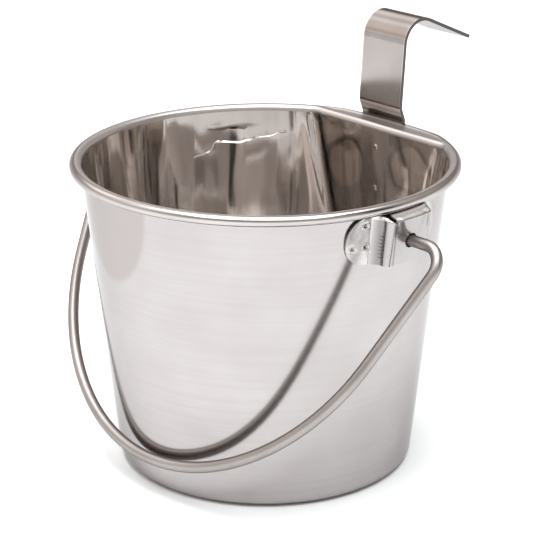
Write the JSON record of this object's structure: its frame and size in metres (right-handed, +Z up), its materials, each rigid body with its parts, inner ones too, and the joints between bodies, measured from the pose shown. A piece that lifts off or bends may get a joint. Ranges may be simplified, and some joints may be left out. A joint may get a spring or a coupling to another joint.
{
  "type": "feed bucket",
  "caption": "Small flat-sided stainless pail with a rolled rim, a swinging wire bail and a strap hook that hangs it over a board.",
  "frame": {"origin": "centre of the round base, on its flat underside", "axes": "+Z up; +Y towards the pressed flat side and its hook; the bail's ears are at +X and -X, and the bail hangs down at -Y"},
  "size_m": [0.209, 0.2046, 0.1784],
  "materials": {
    "pail_steel": "satin stainless outside, polished inside and on the bead",
    "strap_steel": "brushed along the strap",
    "ear_steel": "satin pressed sheet",
    "bail_steel": "drawn wire, satin"
  },
  "bodies": {
    "pail": {"pail_shell": "pail_steel", "hook_strap": "strap_steel", "bail_ear_right": "ear_steel", "bail_ear_left": "ear_steel"},
    "bail": {"bail_handle": "bail_steel"}
  },
  "joints": [
    {"name": "bail_swing", "type": "hinge", "parent": "pail", "child": "bail", "pos_m": [0, 0, 0.1171], "axis": [-1, 0, 0], "range_deg": [0, 205.5]}
  ]
}
